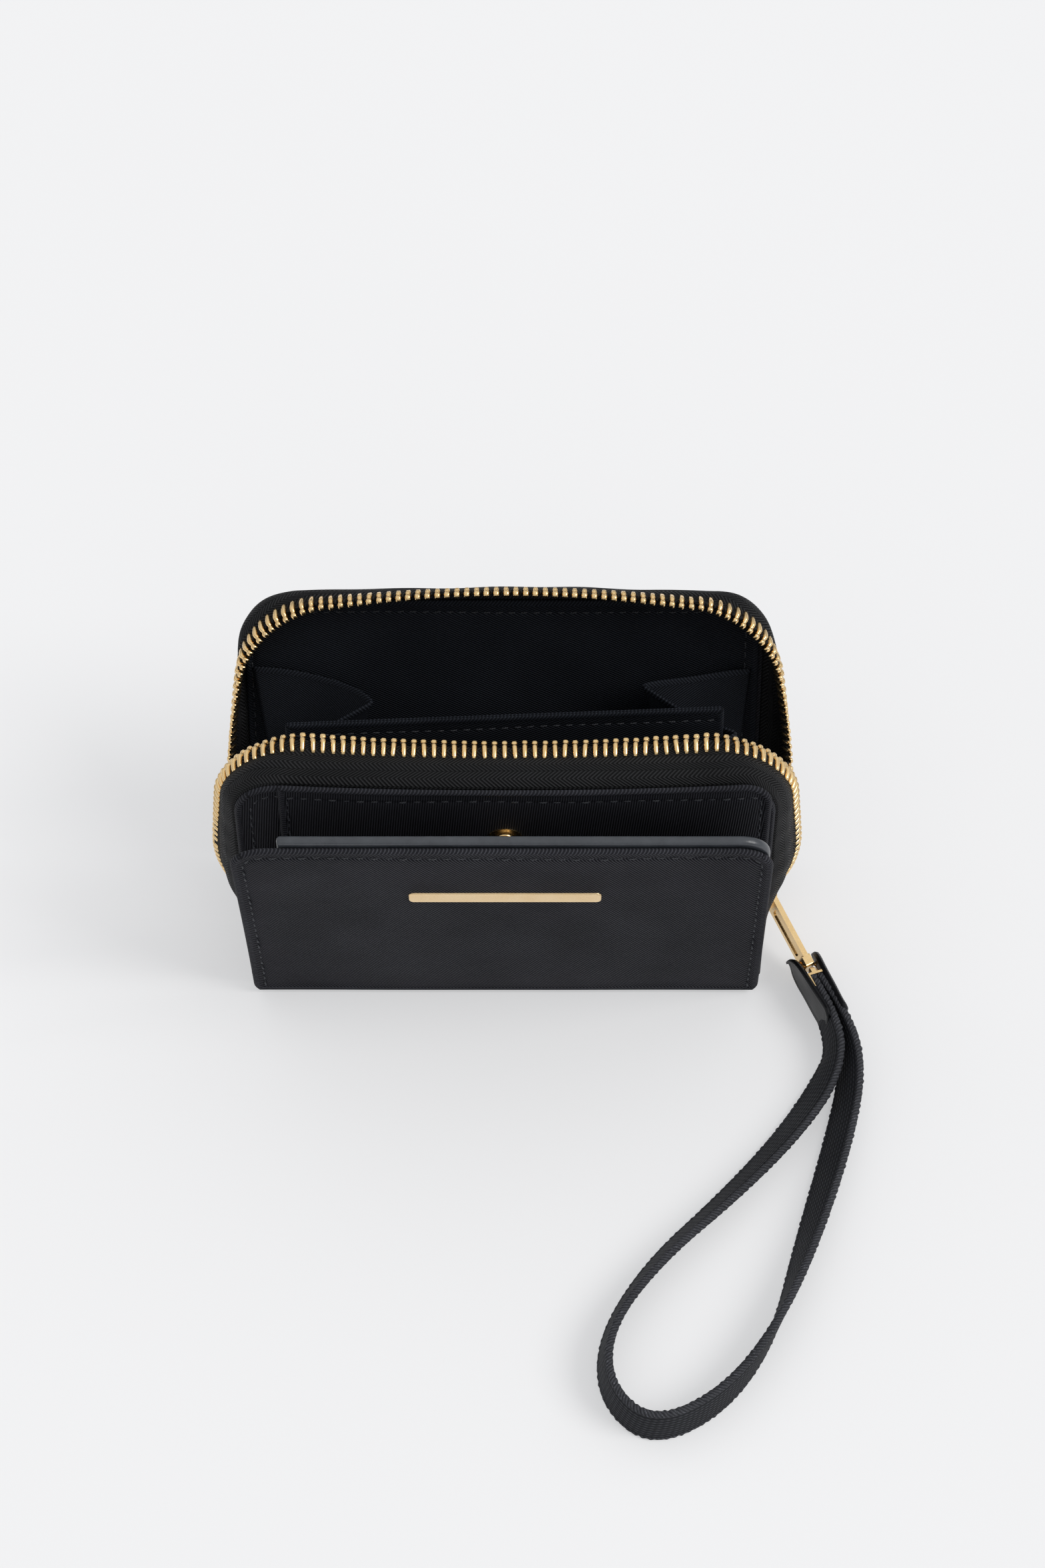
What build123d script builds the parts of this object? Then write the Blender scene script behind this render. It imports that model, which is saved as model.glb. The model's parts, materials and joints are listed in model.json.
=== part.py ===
from build123d import *
import math
import os

# Zip-around nylon purse, standing open on its base, with a snap flap over a
# front card pocket and a webbing wrist loop on the zip pull.
# Frame: +X to the right, +Y to the back, +Z up. The origin is on the underside
# of the base, midway between the bottom edges of the two halves.

# ---------------------------------------------------------------- dimensions
# Sheet thicknesses
twill = 0.8
board = 0.7
lining = 0.5
leather = 1.6
tape_thickness = 0.6
layer_gap = 0.3

# Base
base_depth = 34.0
base_width = 104.0
base_front = -20.0
base_corner = 4.0

# Halves: each stands on its own hinge line and leans (degrees, + is to the back)
front_hinge_y = -16.5
front_lean = -6.5
front_height = 79.0
back_hinge_y = 17.5
back_lean = 12.0
back_height = 74.8
half_width = 57.0
panel_corner = 10.0
panel_foot = 2.5
board_inset = 3.0

# Flap
flap_hinge_y = -20.5
flap_lean = -14.0
flap_width = 112.6
flap_height = 74.2
flap_corner = 8.0
flap_foot = 1.2
slot_left = -47.5
slot_right = 55.5
slot_foot = 16.0
badge_size = (41.0, 4.2, 1.0)
badge_height = 52.5

# Card pocket and snap
pocket_left = -47.5
pocket_right = 56.0
pocket_top = 80.4
snap_height = 61.0
socket_height = 60.4
snap_base_radius = 3.7
snap_head_radius = 1.9
snap_depth = 2.2
rivet_radius = 1.5

# Divider
divider_y = 2.0
divider_lean = 3.5
divider_yaw = 2.0
divider_width = 95.0
divider_height = 63.2
divider_clearance = 0.9

# Zip
# Each tooth row: half width, corner, height, distance inside the panel, droop of
# its middle, narrowing towards the top, height where it closes in, shift to the right
front_row = (63.9, 18.2, 80.9, 9.2, 2.9, 0.077, 42.5, 0.3)
back_row = (62.7, 18.4, 77.8, 7.8, -3.0, 0.124, 32.0, 0.8)
narrow_from = 20.0
narrow_over = 60.0
row_foot = 18.5
foot_x = 55.5
foot_y = -1.5
foot_gap = 1.8
closing_power = 1.6
tooth_pitch = 2.12
tooth_size = (2.6, 1.9, 1.05)

# Slider, crown and pull
slider_x = 54.9
slider_length = 8.0
slider_foot = 8.6
slider_width = 6.6
wing = 0.9
channel = 1.4
crown_bar_x = 58.0
crown_height = 5.6
ring_z = 11.5
ring_radius = 1.9
ring_wire = 0.35
pull_heading = -61.9
pull_drop = 19.2
pull_length = 15.55
pull_height = 5.4
pull_thickness = 1.2
eye_radius = 1.0

# Strap and its leather tab, measured from the middle of the link ring
strap_heading = -69.0
strap_width = 9.5
strap_thickness = 1.6
ply_offset = 0.85
tab_start = -3.9
tab_length = 19.0
tab_height = 10.2
tab_thickness = 1.1
clamp_start = 3.1
clamp_length = 3.8
clamp_floor = 0.6
clamp_wall = 0.4
link_radius = 1.9
link_wire = 0.35

# Wrist strap route on the floor, from the left ply in the clamp round to the
# right ply, along the middle of the webbing.
strap_route = [
    (68.2, -23.0),
    (73.0, -35.6),
    (70.9, -49.0),
    (61.5, -63.0),
    (48.0, -78.5),
    (31.5, -95.5),
    (20.5, -113.0),
    (19.5, -128.0),
    (30.5, -138.0),
    (45.5, -130.5),
    (57.5, -111.0),
    (65.5, -87.0),
    (72.8, -62.5),
    (76.6, -46.5),
    (74.0, -33.4),
    (69.8, -22.4),
]

os.makedirs("parts", exist_ok=True)


def save(part, name):
    """Label a finished piece and write its file."""
    part.label = name
    export_step(part, f"parts/{name}.step")


def standing_plane(y, lean, offset=0.0):
    """Plane on a line along X at height 0 that leans back, facing the front."""
    angle = math.radians(lean)
    facing = Vector(0, -math.cos(angle), math.sin(angle))
    return Plane(origin=Vector(0, y, 0) + facing * offset, x_dir=(1, 0, 0), z_dir=facing)


def arched_sheet(plane, left, right, foot, top, corner, thickness, bottom_corner=1.0):
    """A sheet on a standing plane with rounded top corners."""
    with BuildPart() as sheet:
        with BuildSketch(plane):
            with Locations(((left + right) / 2, (foot + top) / 2)):
                outline = Rectangle(right - left, top - foot)
            corners = outline.vertices().group_by(Axis.Y)
            fillet(corners[-1], corner)
            fillet(corners[0], bottom_corner)
        extrude(amount=thickness)
    return sheet.part


# ---------------------------------------------------------------- base
def base_sheet(z, thickness, depth_front, depth_back, width):
    """A level sheet of the base."""
    with BuildPart() as sheet:
        with BuildSketch(Plane.XY.offset(z)):
            with Locations((0, (depth_front + depth_back) / 2)):
                RectangleRounded(width, depth_back - depth_front, base_corner)
        extrude(amount=thickness)
    return sheet.part


base_back = base_depth / 2
base_top = twill + board + lining
inner_front = front_hinge_y + 3.0
inner_back = back_hinge_y - 3.0
save(base_sheet(0, twill, base_front, base_back, base_width), "base_panel")
save(base_sheet(twill, board, inner_front, inner_back, base_width - 4), "base_stiffener")
save(base_sheet(twill + board, lining, inner_front, inner_back, base_width), "base_lining")

# ---------------------------------------------------------------- two halves
front_plane = standing_plane(front_hinge_y, front_lean)
back_plane = standing_plane(back_hinge_y, back_lean)

front_panel = arched_sheet(
    front_plane, -half_width, half_width, panel_foot, front_height, panel_corner, twill
)
save(front_panel, "front_panel")
front_board = arched_sheet(
    standing_plane(front_hinge_y, front_lean, -board),
    board_inset - half_width,
    half_width - board_inset,
    panel_foot + board_inset,
    front_height - board_inset,
    panel_corner - board_inset,
    board,
)
save(front_board, "front_stiffener")
front_lining = arched_sheet(
    standing_plane(front_hinge_y, front_lean, -board - lining),
    1.0 - half_width,
    half_width - 1.0,
    panel_foot + 1.0,
    front_height - 1.0,
    panel_corner - 1.0,
    lining,
)
save(front_lining, "front_lining")

back_panel = arched_sheet(
    standing_plane(back_hinge_y, back_lean, -twill),
    -half_width,
    half_width,
    panel_foot,
    back_height,
    panel_corner,
    twill,
)
save(back_panel, "back_panel")
back_board = arched_sheet(
    back_plane,
    board_inset - half_width,
    half_width - board_inset,
    panel_foot + board_inset,
    back_height - board_inset,
    panel_corner - board_inset,
    board,
)
save(back_board, "back_stiffener")
back_lining = arched_sheet(
    standing_plane(back_hinge_y, back_lean, board),
    1.0 - half_width,
    half_width - 1.0,
    panel_foot + 1.0,
    back_height - 1.0,
    panel_corner - 1.0,
    lining,
)
save(back_lining, "back_lining")

# ---------------------------------------------------------------- card pocket
pocket_plane = standing_plane(front_hinge_y, front_lean, twill)
card_pocket = arched_sheet(
    pocket_plane, pocket_left, pocket_right, panel_foot + 1.0, pocket_top, 1.5, twill
)
rivet_spot = pocket_plane.from_local_coords((0, snap_height, 0))
rivet_axis = Plane(origin=rivet_spot, x_dir=(1, 0, 0), z_dir=pocket_plane.z_dir)
with BuildPart() as pocket:
    add(card_pocket)
    with BuildSketch(rivet_axis):
        Circle(rivet_radius)
    extrude(amount=twill, mode=Mode.SUBTRACT)
save(pocket.part, "card_pocket")

with BuildPart() as snap_rivet:
    with BuildSketch(rivet_axis):
        Circle(rivet_radius)
    extrude(amount=twill)
save(snap_rivet.part, "snap_stud_rivet")

with BuildPart() as snap_stud:
    with BuildSketch(rivet_axis.offset(twill)):
        Circle(snap_base_radius)
    extrude(amount=0.7)
    with BuildSketch(rivet_axis.offset(twill + 0.7)):
        Circle(snap_head_radius)
    extrude(amount=snap_depth - 0.7)
    fillet(snap_stud.edges().filter_by(GeomType.CIRCLE).sort_by(SortBy.RADIUS)[0], 0.5)
save(snap_stud.part, "snap_stud")

# ---------------------------------------------------------------- flap
flap_panel = arched_sheet(
    standing_plane(flap_hinge_y, flap_lean, -twill),
    -flap_width / 2,
    flap_width / 2,
    flap_foot,
    flap_height,
    flap_corner,
    twill,
    2.0,
)
save(flap_panel, "flap_panel")
flap_board = arched_sheet(
    standing_plane(flap_hinge_y, flap_lean, -twill - board),
    slot_left + board_inset,
    slot_right - board_inset,
    flap_foot + board_inset,
    flap_height - board_inset,
    flap_corner - board_inset,
    board,
    2.0,
)
save(flap_board, "flap_stiffener")
slot_back = twill + board + leather
slot_sheet = arched_sheet(
    standing_plane(flap_hinge_y, flap_lean, -slot_back),
    slot_left,
    slot_right,
    slot_foot,
    flap_height + 0.3,
    5.0,
    leather,
)
socket_face = standing_plane(flap_hinge_y, flap_lean, -slot_back)
socket_spot = socket_face.from_local_coords((0, socket_height, 0))
socket_axis = Plane(origin=socket_spot, x_dir=(1, 0, 0), z_dir=-socket_face.z_dir)
with BuildPart() as slot_panel:
    add(slot_sheet)
    with BuildSketch(socket_axis):
        Circle(rivet_radius)
    extrude(amount=-leather, mode=Mode.SUBTRACT)
save(slot_panel.part, "flap_slot_panel")

with BuildPart() as socket_cap:
    with BuildSketch(socket_axis):
        Circle(rivet_radius)
    extrude(amount=-leather)
save(socket_cap.part, "snap_socket_rivet")

with BuildPart() as snap_socket:
    with BuildSketch(socket_axis):
        Circle(snap_base_radius + 0.6)
        Circle(snap_head_radius + 0.25, mode=Mode.SUBTRACT)
    extrude(amount=1.7)
    outer_rim = snap_socket.edges().filter_by(GeomType.CIRCLE).sort_by(SortBy.RADIUS)[-2:]
    fillet(outer_rim.sort_by(Axis.Y)[-1], 0.6)
save(snap_socket.part, "snap_socket")

with BuildPart() as badge_bar:
    with BuildSketch(standing_plane(flap_hinge_y, flap_lean)):
        with Locations((0, badge_height)):
            RectangleRounded(badge_size[0], badge_size[1], 1.2)
    extrude(amount=badge_size[2])
    fillet(badge_bar.faces().sort_by(Axis.Y)[0].edges(), 0.35)
save(badge_bar.part, "badge_bar")

# ---------------------------------------------------------------- divider
# Two leaves of lining, back to back, turned a little about the vertical.
divider_tilt = math.radians(divider_lean)
divider_facing = Vector(0, -math.cos(divider_tilt), math.sin(divider_tilt)).rotate(Axis.Z, divider_yaw)
divider_across = Vector(1, 0, 0).rotate(Axis.Z, divider_yaw)
divider_base = Vector(0, divider_y, 0)
divider_foot = base_top + divider_clearance
for leaf_name, leaf_offset in (("divider_front_leaf", 0.0), ("divider_back_leaf", -lining)):
    with BuildPart() as leaf:
        leaf_plane = Plane(
            origin=divider_base + divider_facing * leaf_offset,
            x_dir=divider_across,
            z_dir=divider_facing,
        )
        with BuildSketch(leaf_plane):
            with Locations((0, (divider_foot + divider_height) / 2)):
                RectangleRounded(divider_width, divider_height - divider_foot, 1.0)
        extrude(amount=lining)
    save(leaf.part, leaf_name)

# ---------------------------------------------------------------- gussets
# Each gusset is one strip folded like a W between the back, the divider's end
# and the front: (distance from the middle, y) at the back, the inner fold, the
# divider's end, the other inner fold and the front.
gusset_sheet = 0.5
gusset_foot = 3.0
gusset_top = 57.0
gusset_low = [(50.0, 13.8), (45.5, 8.5), (49.2, 2.0), (45.5, -5.5), (50.0, -13.8)]
gusset_high = [(54.2, 26.2), (29.0, 17.5), (49.6, 5.4), (30.0, -8.0), (51.0, -20.4)]
end_shift = divider_width / 2 * math.sin(math.radians(divider_yaw))
for gusset_name, side in (("gusset_left", -1), ("gusset_right", 1)):
    with BuildPart() as gusset:
        for fold, height in ((gusset_low, gusset_foot), (gusset_high, gusset_top)):
            near = [(side * x, y) for x, y in fold]
            near[2] = (near[2][0], near[2][1] + side * end_shift)
            far = [(x - side * gusset_sheet, y) for x, y in reversed(near)]
            with BuildSketch(Plane.XY.offset(height)):
                with BuildLine():
                    Polyline(*near, *far, close=True)
                make_face()
        loft(ruled=True)
    save(gusset.part, gusset_name)


# ---------------------------------------------------------------- zip
def arch_point(half, height, corner, foot, share):
    """Point on an arch: up the left side, over the top, down the right side."""
    side_share = 0.3
    turn_share = 0.1
    mirrored = share > 0.5
    if mirrored:
        share = 1.0 - share
    if share < side_share:
        across = -half
        up = foot + (height - corner - foot) * share / side_share
    elif share < side_share + turn_share:
        angle = (share - side_share) / turn_share * math.pi / 2
        across = -half + corner - corner * math.cos(angle)
        up = height - corner + corner * math.sin(angle)
    else:
        along = (share - side_share - turn_share) / (0.5 - side_share - turn_share)
        across = (-half + corner) * (1 - along)
        up = height
    return (-across if mirrored else across), up


def row_point(plane, sign, row, share):
    """Point of a tooth row, which closes in on the foot of the zip."""
    half, corner, height, depth, droop, narrowing, closing_height, shift = row
    across, up = arch_point(half, height, corner, row_foot, share)
    up -= droop * max(0.0, 1 - (across / (half - corner)) ** 2)
    risen = min(1.0, max(0.0, (up - narrow_from) / narrow_over))
    across *= 1 - narrowing * risen**2
    point = plane.from_local_coords((across + shift, up, -sign * depth))
    closing = max(0.0, (closing_height - up) / (closing_height - row_foot)) ** closing_power
    foot = Vector(math.copysign(foot_x, across), foot_y - sign * foot_gap, row_foot)
    level = Vector(point.X, point.Y, up)
    return level * (1 - closing) + foot * closing if closing > 0 else point


def edge_point(plane, height, share):
    """Point on the panel's edge where the tape is sewn."""
    across, up = arch_point(half_width, height, panel_corner, panel_foot + 0.5, share)
    return plane.from_local_coords((across, up, 0))


def section_plane(edge, row, along):
    """Plane across the tape, x from the panel's edge to the teeth."""
    across = (row - edge).normalized()
    tangent = (along - across * along.dot(across)).normalized()
    return Plane(origin=edge, x_dir=across, z_dir=tangent)


side_steps = [0.0, 0.04, 0.08, 0.13, 0.19, 0.25, 0.3]
turn_steps = [0.325, 0.35, 0.375, 0.4]
left_steps = side_steps + turn_steps
tape_steps = left_steps + [1.0 - share for share in reversed(left_steps)]
small_step = 0.002
zips = (
    ("front", front_plane, 1, front_height, front_row),
    ("back", back_plane, -1, back_height, back_row),
)
for half_name, plane, sign, edge_height, row in zips:
    def on_row(share):
        return row_point(plane, sign, row, share)

    def cut(share):
        before = on_row(max(0.0, share - small_step))
        after = on_row(min(1.0, share + small_step))
        return section_plane(edge_point(plane, edge_height, share), on_row(share), after - before)

    with BuildPart() as tape:
        for share in tape_steps:
            reach = (on_row(share) - edge_point(plane, edge_height, share)).length
            with BuildSketch(cut(share)):
                with Locations((reach / 2 + 0.2, 0)):
                    Rectangle(reach - 0.4, tape_thickness)
        loft(ruled=True)
    save(tape.part, f"zip_tape_{half_name}")

    samples = [on_row(i / 1000) for i in range(1001)]
    places = []
    run = 0.0
    due = tooth_pitch / 2
    for i in range(1, len(samples)):
        run += (samples[i] - samples[i - 1]).length
        if run >= due:
            reach = (samples[i] - edge_point(plane, edge_height, i / 1000)).length
            places.append(cut(i / 1000).location * Pos(reach, 0, 0))
            due += tooth_pitch
    with BuildPart() as teeth:
        with Locations(*places):
            Box(*tooth_size)
    save(teeth.part, f"zip_teeth_{half_name}")
    print(half_name, "row", round(run, 1), "mm,", len(places), "teeth")

# Fabric tabs that close the ends of the tapes below the slider's foot
end_tab_slope = 30.0
for tab_name, side in (("zip_end_tab_left", -1), ("zip_end_tab_right", 1)):
    slope = math.radians(end_tab_slope)
    outward = Vector(side * math.cos(slope), 0, -math.sin(slope))
    start = Vector(side * (base_width / 2 - 1.0), 0, base_top + layer_gap)
    with BuildPart() as end_tab:
        with BuildSketch(Plane(origin=start, x_dir=(0, side, 0), z_dir=outward)):
            with BuildLine():
                Polyline((-12, 0), (12, 0), (4, 4.6), (-4, 4.6), close=True)
            make_face()
        extrude(amount=-twill)
    save(end_tab.part, tab_name)

# Two-part stop under the slider, where the rows part, and the stops at the far
# end of each row
with BuildPart() as bottom_stop:
    with Locations((slider_x, foot_y, slider_foot - 1.8)):
        Box(2.4, 4.6, 2.6)
    fillet(bottom_stop.edges().filter_by(Axis.X), 0.6)
save(bottom_stop.part, "zip_bottom_stop")

stop_reach = foot_gap + 0.2
stop_z = row_foot - 3.6
with BuildPart() as top_stops:
    with Locations(
        (-foot_x, foot_y - stop_reach, stop_z),
        (-foot_x, foot_y + stop_reach, stop_z),
    ):
        Box(2.2, 2.4, 2.6)
    fillet(top_stops.edges().filter_by(Axis.X), 0.5)
save(top_stops.part, "zip_top_stops")

# ---------------------------------------------------------------- slider
slider_top = slider_foot + slider_length
outer_wing_x = slider_x + channel / 2
with BuildPart() as slider_body:
    for wing_x in (outer_wing_x, slider_x - channel / 2 - wing):
        with BuildSketch(Plane.YZ.offset(wing_x)):
            with BuildLine():
                Polyline(
                    (foot_y - 2.4, slider_foot),
                    (foot_y + 2.4, slider_foot),
                    (foot_y + slider_width / 2, slider_foot + 4.0),
                    (foot_y + slider_width / 2, slider_top - 1.0),
                    (foot_y + 1.2, slider_top),
                    (foot_y - 1.2, slider_top),
                    (foot_y - slider_width / 2, slider_top - 1.0),
                    (foot_y - slider_width / 2, slider_foot + 4.0),
                    close=True,
                )
            make_face()
        extrude(amount=wing)
    with Locations((slider_x, foot_y, slider_top - 1.6)):
        Box(channel, 1.6, 2.4)
    for flange_side in (-1, 1):
        with Locations((slider_x, foot_y + flange_side * (slider_width / 2 - 0.3), slider_foot + 5.4)):
            Box(channel, 0.6, 2.6)
save(slider_body.part, "slider_body")

wing_face = outer_wing_x + wing
crown_out = crown_bar_x + 0.3
with BuildPart() as crown:
    with Locations(((wing_face + crown_out) / 2, foot_y, ring_z)):
        Box(crown_out - wing_face, 0.8, crown_height)
    with Locations(((wing_face + crown_bar_x - 0.3) / 2, foot_y, ring_z)):
        Box(crown_bar_x - 0.3 - wing_face, 0.8, crown_height - 1.6, mode=Mode.SUBTRACT)
save(crown.part, "slider_crown")

# ---------------------------------------------------------------- pull
heading = Vector(math.cos(math.radians(pull_heading)), math.sin(math.radians(pull_heading)), 0)
sideways = Vector(heading.Y, -heading.X, 0)
crown_axis = Vector(crown_bar_x, foot_y, ring_z)
ring_centre = crown_axis + Vector(0.95, 0, 0).rotate(Axis.Z, -35.0)
with BuildPart() as pull_ring:
    with Locations(ring_centre):
        Torus(ring_radius, ring_wire)
save(pull_ring.part, "pull_ring")

eye = ring_centre + heading * ring_radius
drop = math.radians(pull_drop)
along_pull = Vector(heading.X * math.cos(drop), heading.Y * math.cos(drop), -math.sin(drop))
pull_plane = Plane(origin=eye, x_dir=along_pull, z_dir=sideways)
far_eye = pull_length / math.cos(drop)
with BuildPart() as pull:
    with BuildSketch(pull_plane.offset(-pull_thickness / 2)):
        with Locations((far_eye / 2, 0)):
            RectangleRounded(far_eye + 2.8, pull_height, 1.2)
    extrude(amount=pull_thickness)
    with BuildSketch(pull_plane.offset(-pull_thickness / 2 - 0.4)):
        with Locations((far_eye, 0)):
            RectangleRounded(2.8, pull_height, 0.5)
    extrude(amount=pull_thickness + 0.8)
    with BuildSketch(pull_plane.offset(-pull_thickness)):
        with Locations((0, 0), (far_eye, 0)):
            Circle(eye_radius)
    extrude(amount=2 * pull_thickness, mode=Mode.SUBTRACT)
    with BuildSketch(pull_plane.offset(pull_thickness / 2 - 0.3)):
        with Locations((far_eye / 2, 0)):
            RectangleRounded(far_eye - 5.0, pull_height - 2.4, 0.8)
    extrude(amount=0.3, mode=Mode.SUBTRACT)
save(pull.part, "zip_pull")


link_height = eye.Z - pull_length * math.tan(drop)
link_spot = Vector(eye.X, eye.Y, 0) + heading * (pull_length + link_radius)
link_centre = link_spot + Vector(0, 0, link_height)
strap_angle = math.radians(strap_heading)
strap_along = Vector(math.cos(strap_angle), math.sin(strap_angle), 0)
strap_aside = Vector(strap_along.Y, -strap_along.X, 0)


def on_strap(distance, offset, height):
    """Point beside the strap's centre line, measured from the middle of the link ring."""
    return link_spot + strap_along * distance - strap_aside * offset + Vector(0, 0, height)


with BuildPart() as link_ring:
    with Locations(link_centre):
        Torus(link_radius, link_wire)
save(link_ring.part, "link_ring")

# ---------------------------------------------------------------- strap end
tongue_eye = link_radius
clamp_inner = ply_offset + strap_thickness / 2 + 0.08
clamp_plane = Plane(origin=on_strap(0, 0, 0), x_dir=strap_along, z_dir=(0, 0, 1))
with BuildPart() as clamp:
    with BuildSketch(clamp_plane.offset(0.3)):
        with Locations((clamp_start + clamp_length / 2, 0)):
            Rectangle(clamp_length, 2 * (clamp_inner + clamp_wall))
        with Locations((clamp_start + clamp_length / 2 + clamp_floor, 0)):
            Rectangle(clamp_length, 2 * clamp_inner, mode=Mode.SUBTRACT)
    extrude(amount=strap_width - 0.3)
    with BuildSketch(Plane(origin=on_strap(0, -0.55, link_height), x_dir=strap_along, z_dir=strap_aside)):
        with Locations(((tongue_eye - 1.4 + clamp_start + 0.2) / 2, 0)):
            RectangleRounded(clamp_start + 1.6 - tongue_eye, 4.2, 1.0)
        with Locations((tongue_eye, 0)):
            Circle(eye_radius, mode=Mode.SUBTRACT)
    extrude(amount=1.1, dir=tuple(-strap_aside))
save(clamp.part, "strap_clamp")

leaf_inner = clamp_inner + clamp_wall + 0.3
for tab_name, side in (("strap_tab_left", -1), ("strap_tab_right", 1)):
    offset_from_centre = side * (leaf_inner + tab_thickness / 2)
    leaf_middle = on_strap(tab_start + tab_length / 2, offset_from_centre, tab_height / 2)
    with BuildPart() as tab_leaf:
        leaf_plane = Plane(origin=leaf_middle, x_dir=strap_along, z_dir=strap_aside)
        with BuildSketch(leaf_plane.offset(-tab_thickness / 2)):
            leaf_outline = Rectangle(tab_length, tab_height)
            ends = leaf_outline.vertices().group_by(Axis.X)
            fillet(ends[0], tab_height / 2 - 0.1)
            fillet(ends[-1], 1.5)
        extrude(amount=tab_thickness)
    save(tab_leaf.part, tab_name)


# ---------------------------------------------------------------- wrist strap
def bend_radii(points):
    """As large a radius at each corner as its two runs allow."""
    radii = []
    for before, corner, after in zip(points, points[1:], points[2:]):
        run_in = Vector(*corner) - Vector(*before)
        run_out = Vector(*after) - Vector(*corner)
        half_turn = math.radians(run_in.get_angle(run_out)) / 2
        radii.append(0.45 * min(run_in.length, run_out.length) / math.tan(half_turn))
    return radii


strap_points = [(x, y, strap_width / 2) for x, y in strap_route]
strap_radii = bend_radii(strap_points)
with BuildPart() as wrist_strap:
    with BuildLine() as strap_path:
        FilletPolyline(*strap_points, radius=strap_radii)
    strap_line = strap_path.wires()[0]
    with BuildSketch(Plane(origin=strap_line @ 0, x_dir=(0, 0, 1), z_dir=strap_line % 0)):
        Rectangle(strap_width, strap_thickness)
    sweep(path=strap_line)
save(wrist_strap.part, "wrist_strap")

strap_volume = strap_width * strap_thickness * strap_line.length
print("strap length", round(strap_line.length, 1), "radii", [round(r, 1) for r in strap_radii])
print("strap volume", round(wrist_strap.part.volume, 1), "of", round(strap_volume, 1))
for name, point in (
    ("crown axis", crown_axis),
    ("link centre", link_centre),
    ("eye", eye),
    ("clamp start", on_strap(clamp_start, 0, 0)),
    ("tab end", on_strap(tab_start + tab_length, 0, 0)),
):
    print(name, [round(value, 2) for value in point])
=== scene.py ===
import json
import math

import bmesh
import bpy
import numpy as np
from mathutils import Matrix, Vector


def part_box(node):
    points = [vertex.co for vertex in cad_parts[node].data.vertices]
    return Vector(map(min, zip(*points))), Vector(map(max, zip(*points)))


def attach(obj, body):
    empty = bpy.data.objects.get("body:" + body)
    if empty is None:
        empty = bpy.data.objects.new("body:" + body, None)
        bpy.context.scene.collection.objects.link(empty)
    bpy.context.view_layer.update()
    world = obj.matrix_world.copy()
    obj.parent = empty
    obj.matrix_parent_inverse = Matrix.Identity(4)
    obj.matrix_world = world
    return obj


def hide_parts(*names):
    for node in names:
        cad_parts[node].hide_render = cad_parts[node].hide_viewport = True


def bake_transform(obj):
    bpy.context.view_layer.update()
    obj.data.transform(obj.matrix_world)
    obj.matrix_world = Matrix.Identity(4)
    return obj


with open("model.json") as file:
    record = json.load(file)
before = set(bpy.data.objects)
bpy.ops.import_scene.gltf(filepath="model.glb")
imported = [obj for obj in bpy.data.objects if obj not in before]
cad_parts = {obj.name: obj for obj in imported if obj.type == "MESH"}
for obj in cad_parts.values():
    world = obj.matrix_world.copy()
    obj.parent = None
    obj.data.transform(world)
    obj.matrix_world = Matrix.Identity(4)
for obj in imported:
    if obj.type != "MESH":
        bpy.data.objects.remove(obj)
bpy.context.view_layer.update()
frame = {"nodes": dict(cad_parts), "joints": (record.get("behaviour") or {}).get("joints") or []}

# Everything below is worked out in millimetres in the CAD frame, and made in metres.
MM = 0.001
rng = np.random.default_rng(11)
scene = bpy.context.scene
X_AXIS = np.array([1.0, 0.0, 0.0])
Z_AXIS = np.array([0.0, 0.0, 1.0])


def corners_of(node):
    """Lowest and highest corner of a CAD node, in millimetres."""
    low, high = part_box(node)
    return np.array(low) / MM, np.array(high) / MM


def unit(vectors):
    """Vectors of length one, along the last axis."""
    vectors = np.asarray(vectors, float)
    return vectors / np.maximum(np.linalg.norm(vectors, axis=-1, keepdims=True), 1e-9)


def run_of(line):
    """Distance along a line to each of its points."""
    return np.concatenate([[0], np.cumsum(np.linalg.norm(np.diff(line, axis=0), axis=1))])


def square_to(vectors, other):
    """The vectors' directions, turned square to directions of length one."""
    return unit(vectors - other * np.sum(vectors * other, -1, keepdims=True))


def normals_of(grid):
    return unit(np.cross(np.gradient(grid, axis=1), np.gradient(grid, axis=0)))


def bell(value, middle, width):
    """1 at the middle, falling to 0 on both sides."""
    return np.exp(-(((value - middle) / width) ** 2))


def rounding(share):
    """Height of a quarter circle, over a share from 0 to 1."""
    return np.sqrt(np.clip(1 - (1 - np.clip(share, 0, 1)) ** 2, 0, 1))


joint_at = {j["name"]: np.array(j.get("pos_m", (0, 0, 0))) / MM for j in frame["joints"]}


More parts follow.
